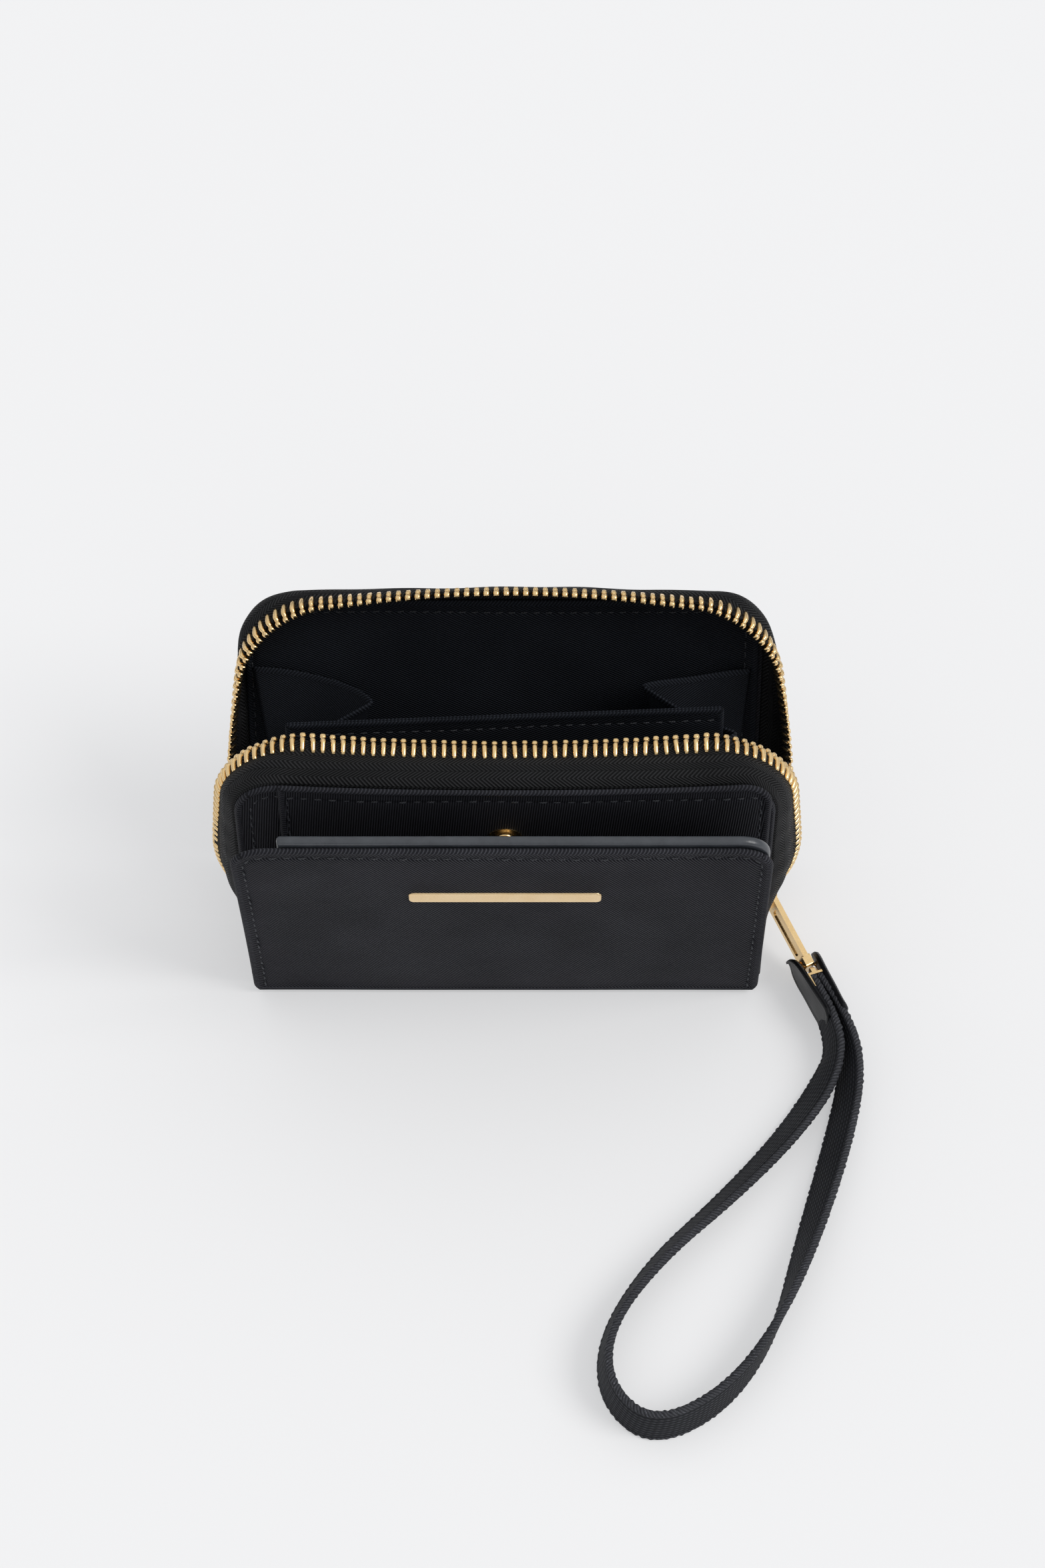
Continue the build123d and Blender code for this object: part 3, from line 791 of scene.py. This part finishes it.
FRONT_LEAN, BACK_LEAN, FLAP_LEAN = -6.5, 12.0, -14.0
BACK_TOP, FLAP_TOP = 74.8, 74.2
PANEL_HALF = 57
FOOT = 2.5
FRONT_HANG = 2.5
FLAP_SPREAD, FLAP_DRAW = 1.5, 2.2


def up_to(high_z, degrees):
    """How far up a leaning plane a height is."""
    return high_z / math.cos(math.radians(degrees))


def hanging(u, v, w):
    """The front half's upper edge hangs a little in the middle."""
    hang = np.clip(1 - (u / 54.0) ** 2, 0, 1) * np.clip((v - 52.0) / 28.0, 0, 1) ** 2
    return u, v - FRONT_HANG * hang, w


def spreading(u, v, w):
    """The flap spreads a little to its upper left, and its foot's corners draw in."""
    leftward = np.clip(-u / 56.0, 0, 1) * np.clip(v / 74.0, 0, 1) ** 1.5
    foot = np.clip(1 - v / 4.0, 0, 1) ** 2 * np.clip(np.abs(u) / 56.0, 0, 1) ** 4
    return u - FLAP_SPREAD * leftward - FLAP_DRAW * foot * np.sign(u), v, w


front_plane = leaning(joint_at["front_half_hinge"][1], FRONT_LEAN)
front_place = warped(front_plane, hanging)
back_place = leaning(joint_at["back_half_hinge"][1], BACK_LEAN)
flap_plane = leaning(joint_at["flap_hinge"][1], FLAP_LEAN)
flap_place = warped(flap_plane, spreading)
front_top = up_to(front_high[2], FRONT_LEAN)
pocket_top = up_to(pocket_high[2], FRONT_LEAN)


def pouch_piece(piece, body, slot, *nodes):
    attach(piece, body)
    if nodes:
        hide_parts(*nodes)


def sewn(panel, name, material, body, slot, node, seam, depth, flip=False, **stitch):
    """A panel's cloth, pulled in along its seam, and the seam's stitches."""
    panel.seams.append((seam, depth))
    pouch_piece(panel.build(name + "_cloth", material, flip), body, slot, node)
    pouch_piece(panel.stitches(name + "_stitches", seam, flip=flip, **stitch), body, slot)


front_skin = Panel(
    shifted(front_place, 0.4), -PANEL_HALF, PANEL_HALF, FOOT, front_top, (10, 10), 0.9,
    roll=0.42, puff=0.25, warp=ripples(0.16, 46, 3),
)
front_seam = front_skin.edge_line(3.5, 3.5, 3.5)
sewn(front_skin, "front_half", mat_panel, "front_half", "twill", "front_panel", front_seam, 0.3)

back_skin = Panel(
    shifted(back_place, -0.4), -PANEL_HALF, PANEL_HALF, FOOT, BACK_TOP, (10, 10), 0.9,
    roll=0.4, puff=0.35, warp=ripples(0.2, 50, 5),
)
back_seam = back_skin.edge_line(3.5, 3.5, 3.5)
sewn(back_skin, "back_half", mat_panel, "back_half", "twill", "back_panel", back_seam, 0.3, True)

pocket_skin = Panel(
    shifted(front_place, 1.25), pocket_low[0], pocket_high[0], FOOT + 1, pocket_top, (0.9, 6.5),
    0.9, roll=0.3, puff=0.3, warp=ripples(0.22, 38, 8),
)
pocket_seam = pocket_skin.edge_line(1.9, 4.3, 2.3)
sewn(pocket_skin, "card_pocket", mat_panel, "front_half", "twill", "card_pocket", pocket_seam, 0.34)

flap_skin = Panel(
    shifted(flap_place, -0.35), flap_low[0], flap_high[0], 1.2, FLAP_TOP, (8, 8), 1.0,
    roll=0.3, puff=0.45, warp=ripples(0.3, 60, 21),
)
flap_seam = flap_skin.edge_line(2.6, 3.5, 2.4, bottom=1.5)
sewn(flap_skin, "flap", mat_flap, "flap", "twill", "flap_panel", flap_seam, 0.34)

slot_skin = Panel(
    shifted(flap_plane, -1.95), slot_low[0], slot_high[0], 22.0, FLAP_TOP + 1.6, (0.8, 6.5), 1.9,
    roll=0.05, puff=0.0, warp=ripples(0.1, 55, 31),
)
facing = slot_skin.build("flap_facing_leather", mat_leather)
pouch_piece(facing, "flap", "leather", "flap_slot_panel")

# ---- linings
back_lining = Panel(
    shifted(back_place, 0.95), -57.6, 56, FOOT + 1, BACK_TOP - 1, (9, 9), 0.55,
    roll=0.1, puff=0.35, warp=ripples(0.25, 42, 41),
)
side_heights = np.linspace(8, 66, 140)
lining_seams = {
    "top": np.array([(u, 70.6) for u in np.linspace(-46, 46, 200)]),
    "left": np.array([(-56.1, v) for v in side_heights]),
    "right": np.array([(52.9, v) for v in side_heights]),
}
back_lining.seams = [(line, 0.3) for line in lining_seams.values()]
lining_cloth = back_lining.build("back_lining_cloth", mat_lining)
pouch_piece(lining_cloth, "back_half", "lining", "back_lining")
for seam_name, line in lining_seams.items():
    row = back_lining.stitches(
        f"back_lining_{seam_name}_stitches", line, 2.7, length=1.9, radius=0.17
    )
    pouch_piece(row, "back_half", "lining")

front_lining = Panel(
    shifted(front_place, -0.95), -56, 56, FOOT + 1, front_top - 1, (9, 9), 0.55,
    roll=0.1, puff=0.3, warp=ripples(0.2, 42, 43),
)
front_lining_seam = front_lining.edge_line(4, 5, 4)
sewn(
    front_lining, "front_lining", mat_lining, "front_half", "lining", "front_lining",
    front_lining_seam, 0.25, True, pitch=2.7, length=1.9, radius=0.17,
)


# ---- base
def level(z):
    """Places (across, depth, height) of a level plane, with the depth along +Y."""

    def at(u, v, w):
        u, v, w = np.broadcast_arrays(u, v, w)
        return np.stack([u, v, z + w], -1)

    at.out = Z_AXIS
    return at


base_skin = Panel(
    level(0.45), base_low[0], base_high[0], base_low[1], base_high[1], (4, 4), 0.86, roll=0.0, puff=0.0
)
pouch_piece(base_skin.build("base_cloth", mat_panel), "base", "twill", "base_panel")
lining_low, lining_high = corners_of("base_lining")
base_lining = Panel(
    level(lining_high[2] - 0.25), lining_low[0], lining_high[0], lining_low[1], lining_high[1],
    (4, 4), 0.5, roll=0.0, puff=0.12, warp=ripples(0.08, 30, 51),
)
pouch_piece(base_lining.build("base_lining_cloth", mat_lining), "base", "lining", "base_lining")

# ---- divider
DIVIDER_TOP, DIVIDER_HALF, DIVIDER_YAW = 63.2, 47.5, 2.0
DIVIDER_RISE = 1.5
divider_plane = leaning(joint_at["divider_tilt"][1], 3.5, DIVIDER_YAW)


def rising(u, v, w):
    """The divider's top rises a little to the right."""
    share = np.clip(v / DIVIDER_TOP, 0, 1) * (u + DIVIDER_HALF) / (2 * DIVIDER_HALF)
    return u, v + DIVIDER_RISE * share, w


divider_place = warped(divider_plane, rising)
leaves = (("divider_front_leaf", 0.27, False), ("divider_back_leaf", -0.27, True))
for leaf_name, leaf_offset, flip in leaves:
    leaf = Panel(
        shifted(divider_place, leaf_offset), -DIVIDER_HALF, DIVIDER_HALF, 3.0, DIVIDER_TOP,
        (0.8, 0.8), 0.5, roll=0.14, puff=0.12, warp=ripples(0.14, 36, 61),
    )
    hem = np.array(
        [(u, DIVIDER_TOP - 3.4 + 0.12 * math.sin(u / 6)) for u in np.linspace(-46, 46, 240)]
    )
    sewn(
        leaf, leaf_name, mat_lining, "divider", "lining", leaf_name, hem, 0.16, flip,
        pitch=2.8, length=2.0, radius=0.17,
    )


# ---- gussets
def bowed(a, b, control, count):
    """A bowed line from a to b."""
    t = np.linspace(0, 1, count)[:, None]
    a, b, control = (np.array(p, float) for p in (a, b, control))
    return a * (1 - t) ** 2 + 2 * control * t * (1 - t) + b * t**2


def softened(line, width):
    """The line with its corners rounded over that many points."""
    padded = np.vstack([line[:1]] * width + [line] + [line[-1:]] * width)
    kernel = np.hanning(2 * width + 1)
    kernel /= kernel.sum()
    return np.stack([np.convolve(padded[:, k], kernel, "valid") for k in range(2)], -1)


GUSSET_LOW = [(50.0, 13.8), (45.5, 8.5), (49.9, 2.0), (45.5, -5.5), (50.0, -13.8)]
GUSSET_SHIFT = DIVIDER_HALF * math.sin(math.radians(DIVIDER_YAW))
GUSSET_GROUND = 3.0
PER_FOLD = 26
# Side, the first fold's tip and bow, top, rear end, and how far the rear end and the tip lift
gusset_tops = {
    "gusset_left": (-1, (29.0, 16.5), (36.0, 26.6), 56.8, (56.6, 26.4), (0.0, -0.4)),
    "gusset_right": (1, (29.8, 19.8), (40.0, 24.6), 57.0, (54.6, 26.4), (-0.9, 1.3)),
}
# First and last fold line, a body's name, and a start and an end in (y, z).
gusset_lengths = {
    "back": (0, 2, "back_half", (-14.8, 3.0), (22.7, 0.6)),
    "middle": (2, 3, "divider", (-8.0, 30.0), (5.4, 30.0)),
    "front": (3, 4, "front_half", (-8.0, 30.0), (-20.4, 30.0)),
}
for gusset_name, (side, tip, bow, top_z, back_end, lifts) in gusset_tops.items():
    shift = side * GUSSET_SHIFT
    high_folds = [back_end, tip, (50.5, 5.4 + shift), (30.0, -8.0), (52.5, -20.8)]
    bows = [bow, (41.0, 9.8 + shift), (39.0, -0.6), (37.0, -18.5)]
    low_folds = [(x, y + (shift if k == 2 else 0)) for k, (x, y) in enumerate(GUSSET_LOW)]
    high_line, low_line = [], []
    for k in range(4):
        skip = 1 if k else 0
        halfway = (np.array(low_folds[k]) + low_folds[k + 1]) / 2
        high_line.append(bowed(high_folds[k], high_folds[k + 1], bows[k], PER_FOLD)[skip:])
        low_line.append(bowed(low_folds[k], low_folds[k + 1], halfway, PER_FOLD)[skip:])
    high_line = softened(np.vstack(high_line), 2)
    low_line = softened(np.vstack(low_line), 4)
    near_hem = (0.96, 0.972, 0.98, 0.987, 0.993, 0.997, 1.0)
    rise = np.array([0, 0.05, 0.12, *np.linspace(0.2, 0.94, 22), *near_hem])
    height = GUSSET_GROUND + (top_z - GUSSET_GROUND) * rise
    share = rise[:, None, None]
    middle = low_line[None] * (1 - share) + high_line[None] * share
    middle = middle * np.array([side, 1])
    middle = np.concatenate([middle, np.repeat(height[:, None, None], middle.shape[1], 1)], 2)
    slack = np.sin(height / 9.0) * (1 - rise) * rise
    middle[..., 0] += 0.75 * side * slack[:, None]
    # The free edge dips between its folds, as slack cloth does.
    folds_along = np.linspace(0, 4, middle.shape[1])
    dip = np.sin(folds_along * math.pi) ** 2
    lift = np.interp(folds_along, [0, 1, 2, 3, 4], [*lifts, 0, 0, 0])
    middle[..., 2] += (lift - 0.9 * dip)[None, :] * rise[:, None] ** 3
    normal = normals_of(middle)
    below_top = (1 - rise[:, None]) * (top_z - GUSSET_GROUND)
    hem = 0.16 * bell(below_top, 0.9, 0.5) + 0.12 * bell(below_top, 0.0, 0.35)
    layer = np.stack(np.meshgrid(run_of(high_line), height), -1)
    edge = np.stack([layer[..., 0], below_top + 0 * layer[..., 0]], -1)
    for length_name, (first, last, body, start, end) in gusset_lengths.items():
        low = max(0, first * (PER_FOLD - 1) - 1)
        high = min(middle.shape[1], last * (PER_FOLD - 1) + 2)
        columns = np.arange(low, high)
        closing_end = (columns == columns[0]) | (columns == columns[-1])
        half = (0.24 + hem) * np.where(closing_end[None, :], 0.0, 1.0)
        half = (half * np.where(rise[:, None] >= 1.0, 0.35, 1.0))[..., None]
        part, way = middle[:, low:high], normal[:, low:high]
        piece = closed_sheet(
            f"{gusset_name}_{length_name}_cloth", part + way * half, part - way * half,
            {"weave": layer[:, low:high], "edge": edge[:, low:high]}, mat_lining,
        )
        if length_name == "back":
            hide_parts(gusset_name)
        start_m, end_m = (0, start[0] * MM, start[1] * MM), (0, end[0] * MM, end[1] * MM)
        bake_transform(piece)
        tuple(start_m)
        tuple(end_m)

# ---- zip
ROW_END = np.array([55.5, -1.5, 18.5])
ROW_GAP = 1.8
CLOSING_POWER = 1.6
TAPE_FOOT = 16.0
NARROW_FROM, NARROW_OVER = 20.0, 60.0
PITCH = 2.12
zips = {"front": (front_place, 1, front_top), "back": (back_place, -1, BACK_TOP)}
row_planes = {"front": front_plane, "back": back_place}
# Half width, corner, height, distance inside the panel, droop of the middle, narrowing towards
# the top, height where the row closes in, shift to the right: the same values as in part.py.
zip_rows = {
    "front": (63.9, 18.2, 80.9, 9.2, 2.9, 0.077, 42.5, 0.3),
    "back": (62.7, 18.4, 77.8, 7.8, -3.0, 0.124, 32.0, 0.8),
}


def arch(half, height, corner, foot, share):
    """Points (across, up) of an arch: up the left, over the top, down the right."""
    side_share, turn_share = 0.3, 0.1
    share = np.asarray(share, float)
    near = np.where(share > 0.5, 1 - share, share)
    angle = (near - side_share) / turn_share * math.pi / 2
    along = (near - side_share - turn_share) / (0.5 - side_share - turn_share)
    across = np.select(
        [near < side_share, near < side_share + turn_share],
        [-half, -half + corner - corner * np.cos(angle)],
        (-half + corner) * (1 - along),
    )
    up = np.select(
        [near < side_share, near < side_share + turn_share],
        [foot + (height - corner - foot) * near / side_share, height - corner + corner * np.sin(angle)],
        height,
    )
    return np.where(share > 0.5, -across, across), up


def row_points(half_name, share):
    place, sign = row_planes[half_name], zips[half_name][1]
    half, corner, height, depth, droop, narrowing, low, shift = zip_rows[half_name]
    across, up = arch(half, height, corner, ROW_END[2], share)
    up = up - droop * np.clip(1 - (across / (half - corner)) ** 2, 0, 1)
    high = np.clip((up - NARROW_FROM) / NARROW_OVER, 0, 1)
    across = across * (1 - narrowing * high**2) + shift
    point = place(across, up, -sign * depth * np.ones_like(up))
    closing = np.clip((low - up) / (low - ROW_END[2]), 0, None) ** CLOSING_POWER
    level_y, level_z = ROW_END[1] - sign * ROW_GAP, ROW_END[2]
    foot = np.stack([np.copysign(ROW_END[0], across), level_y + 0 * up, level_z + 0 * up], -1)
    level_point = np.stack([point[..., 0], point[..., 1], up], -1)
    mixed = level_point * (1 - closing[..., None]) + foot * closing[..., None]
    return np.where(closing[..., None] > 0, mixed, point)


def edge_points(half_name, share):
    place, _, height = zips[half_name]
    across, up = arch(PANEL_HALF, height, 10.0, TAPE_FOOT, share)
    return place(across, up, np.zeros_like(up))


def tape_frames(half_name, share, square_to_row=False):
    """Edge, row, and the directions across, along and out of the tape."""
    small = 0.002
    edge, row = edge_points(half_name, share), row_points(half_name, share)
    before, after = np.maximum(share - small, 0), np.minimum(share + small, 1)
    along = row_points(half_name, after) - row_points(half_name, before)
    over = unit(row - edge)
    if square_to_row:
        along = unit(along)
        over = square_to(over, along)
    along = square_to(along, over)
    out = np.cross(over, along)
    middle = (edge + row) / 2 - np.array([0, 0, 40.0])
    out = out * np.sign(np.sum(out * middle, -1, keepdims=True))
    return edge, row, over, along, out


# Sections of one tooth from the ends of its legs to the tip of its head: reach along the leg,
# half width, half height, drop towards the inside
TOOTH_SECTIONS = [
    (-2.5, 0.28, 0.66, 0.0), (-2.4, 0.42, 0.86, 0.0), (-1.8, 0.48, 1.0, 0.0),
    (-0.9, 0.52, 1.12, 0.0), (0.0, 0.53, 1.16, 0.0), (0.5, 0.52, 1.1, 0.02),
    (0.85, 0.46, 0.86, 0.12), (1.05, 0.42, 0.66, 0.24), (1.25, 0.56, 0.68, 0.34),
    (1.6, 0.64, 0.72, 0.4), (1.9, 0.55, 0.6, 0.4), (2.08, 0.34, 0.36, 0.38),
]
# Going round a section, in shares of its half width and half height
TOOTH_CORNERS = [
    (1, 0.55), (0.62, 1), (-0.62, 1), (-1, 0.55), (-1, -0.55), (-0.62, -1), (0.62, -1), (1, -0.55)
]


def zip_teeth(half_name):
    """All the teeth of one half, with their legs over the tape and their heads past its edge."""
    fine = np.linspace(0, 1, 2001)
    run = run_of(row_points(half_name, fine))
    share = np.interp(np.arange(PITCH / 2, run[-1], PITCH), run, fine)
    _, row, over, along, out = tape_frames(half_name, share, square_to_row=True)
    # Down the sides the legs are shorter and the teeth slimmer.
    beside = np.clip((np.abs(share - 0.5) - 0.16) / 0.14, 0, 1)[:, None]
    slim = 1 - 0.42 * beside
    lean = rng.normal(0, 0.035, len(share))[:, None]
    over = unit(over + along * lean)
    along = square_to(along, over)
    jitter = rng.normal(0, 0.05, (len(share), 1))
    points = []
    for reach, wide, tall, drop in TOOTH_SECTIONS:
        length = (reach * (1 - 0.5 * beside) if reach < 0 else reach) - 0.1 + jitter
        for a, b in TOOTH_CORNERS:
            points.append(row + over * length + along * (a * wide) + out * (b * tall * slim - drop))
    points = np.stack(points, 1).reshape(-1, 3)
    faces = tubes(len(share), len(TOOTH_SECTIONS), len(TOOTH_CORNERS))
    return made_mesh(f"zip_teeth_{half_name}_bent", points, faces, {}, mat_gold)


def zip_tape(half_name):
    """The tape from the panel's edge to the teeth: a soft roll with a corded edge."""
    left = [np.linspace(0, 0.3, 70), np.linspace(0.3, 0.4, 26)[1:], np.linspace(0.4, 0.5, 30)[1:]]
    left = np.concatenate(left)
    share = np.concatenate([left, (1 - left[::-1])[1:]])
    edge, row, over, along, out = tape_frames(half_name, share)
    reach = np.linalg.norm(row - edge, axis=1)
    t = [0, 0.015, 0.05, 0.1, 0.16, 0.23, 0.31, 0.4, 0.5, 0.6, 0.7, 0.79, 0.87, 0.93, 0.97, 0.99, 1]
    t = np.array(t)
    t_grid = np.repeat(t[:, None], len(share), 1)
    distance = -0.25 + (reach + 0.5) * t_grid
    full = np.sin(math.pi * np.clip(t_grid / 0.76, 0, 1)) ** 0.8
    # No fullness where the tape is narrow or comes down to its end
    room = np.clip((reach - 3) / 5, 0, 1) * np.clip((row[:, 2] - 19.0) / 14.0, 0, 1)
    wobble = 0.12 * np.sin(share * 61 + 1.3) + 0.1 * np.sin(share * 143)
    fullness = 1.05 * full * room * (1 + wobble)
    half = (0.3 + 0.22 * bell(t_grid, 0.97, 0.04)) * rounding(np.minimum(t, 1 - t) / 0.05)[:, None]
    half[:, [0, -1]] = 0.0
    middle = edge[None] + over[None] * distance[..., None] + out[None] * fullness[..., None]
    layer = np.stack([np.repeat(run_of((edge + row) / 2)[None], len(t), 0), distance], -1)
    thick = out[None] * half[..., None]
    layers = {"weave": layer, "edge": layer + 10.0}
    return closed_sheet(f"zip_tape_{half_name}_cloth", middle + thick, middle - thick, layers, mat_tape)


zip_bodies = {"front": "front_half", "back": "back_half"}
for half_name, body in zip_bodies.items():
    teeth = zip_teeth(half_name)
    tape = zip_tape(half_name)
    for piece, slot_name, node in (
        (teeth, "gold_metal", f"zip_teeth_{half_name}"),
        (tape, "zip_tape", f"zip_tape_{half_name}"),
    ):
        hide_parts(node)
        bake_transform(piece)

# Cloth tabs that close the lower ends of the tapes
for tab_name, side in (("zip_end_tab_left", -1), ("zip_end_tab_right", 1)):
    low, high = corners_of(tab_name)
    t, s = np.meshgrid(np.linspace(0, 1, 14), np.linspace(-1, 1, 16), indexing="ij")
    inner_x, outer_x = (low[0], high[0]) if side > 0 else (high[0], low[0])
    half_depth = (high[1] - low[1]) / 2 * (1 - t) + 3.9 * t
    bulge = 0.5 * np.sin(math.pi * t)
    middle = np.stack(
        [
            inner_x + (outer_x - inner_x) * t + side * bulge * 0.4,
            (low[1] + high[1]) / 2 + s * half_depth,
            low[2] + 0.4 + (high[2] - low[2] - 0.8) * t - bulge * 0.5 * (1 - s * s),
        ],
        -1,
    )
    inside = (t > 0) & (t < 1) & (abs(s) < 1)
    thick = normals_of(middle) * np.where(inside, 0.4, 0.0)[..., None]
    layer = np.stack([s * 12, t * 7], -1)
    layers = {"weave": layer, "edge": layer + 10.0}
    piece = closed_sheet(tab_name + "_cloth", middle + thick, middle - thick, layers, mat_panel)
    pouch_piece(piece, "base", "twill", tab_name)

# ---- strap end: leather leaves
STRAP_HEADING = math.radians(-69.0)
heading = np.array([math.cos(STRAP_HEADING), math.sin(STRAP_HEADING), 0.0])
sideways = np.array([heading[1], -heading[0], 0.0])
link_low, link_high = corners_of("link_ring")
link_centre = (link_low + link_high) / 2
TAB_LENGTH, TAB_HEIGHT, TAB_THICK, TAB_START, LEAF_OFFSET = 19.0, 10.2, 1.15, -3.9, 1.98
tab_origin = link_centre * np.array([1, 1, 0]) + heading * TAB_START


def tab_leaf(name, side):
    """A leather leaf, rounded and flared at the pull's end and pressed to the webbing."""
    stations = np.concatenate([spread(0, TAB_LENGTH, 1.2), np.linspace(0, 5, 14)])
    rings, layers = [], []
    half_height = TAB_HEIGHT / 2
    round_end = half_height - 0.1
    for x in np.unique(np.round(stations, 3)):
        lower = rounding(x / round_end) * half_height
        far = TAB_LENGTH - x
        tall = min(lower, half_height - max(0.0, 1.2 - far) * 0.8)
        tall = max(tall, 0.05)
        flare = 0.95 * (1 - x / TAB_LENGTH) ** 4 - 0.25 * bell(x, 16.5, 3.5)
        ring, layer = [], []
        for sign in (1, -1):
            for t in np.linspace(-1, 1, 15)[::sign]:
                edge_gap = (1 - abs(t)) * tall
                end_gap = min(x, far) + 0.02
                border = min(edge_gap, end_gap)
                thick = TAB_THICK / 2 * rounding(border / 0.5)
                thick += 0.1 * bell(border, 0.55, 0.4) - 0.1 * bell(border, 1.3, 0.3)
                cup = 0.25 * (t * t)
                offset = LEAF_OFFSET + flare + cup + sign * max(thick, 0.0)
                roll = 0.75 * t * (1 - x / TAB_LENGTH)
                beside = sideways * (roll - side * offset)
                ring.append(tab_origin + heading * x + beside + Z_AXIS * (half_height + t * tall))
                layer.append((x, t * tall))
        rings.append(ring)
        layers.append(layer)
    return swept(name, np.array(rings), np.array(layers), mat_tab)


for leaf_name, side in (("strap_tab_left", -1), ("strap_tab_right", 1)):
    leaf = tab_leaf(leaf_name + "_leather", side)
    pouch_piece(leaf, "strap", "leather", leaf_name)

# ---- CAD nodes that stay
cad_finish = {
    mat_board: ("base_stiffener", "front_stiffener", "back_stiffener"),
    mat_tab: ("flap_stiffener",),
    mat_gold_soft: ("badge_bar",),
    mat_gold: (
        "snap_stud", "snap_stud_rivet", "snap_socket", "snap_socket_rivet", "zip_bottom_stop",
        "zip_top_stops", "slider_body", "slider_crown", "pull_ring", "zip_pull", "link_ring",
        "strap_clamp",
    ),
}
for finish, node_names in cad_finish.items():
    for node_name in node_names:
        node = frame["nodes"][node_name]
        if not node.material_slots:
            node.data.materials.append(finish)
        for material_slot in node.material_slots:
            material_slot.material = finish
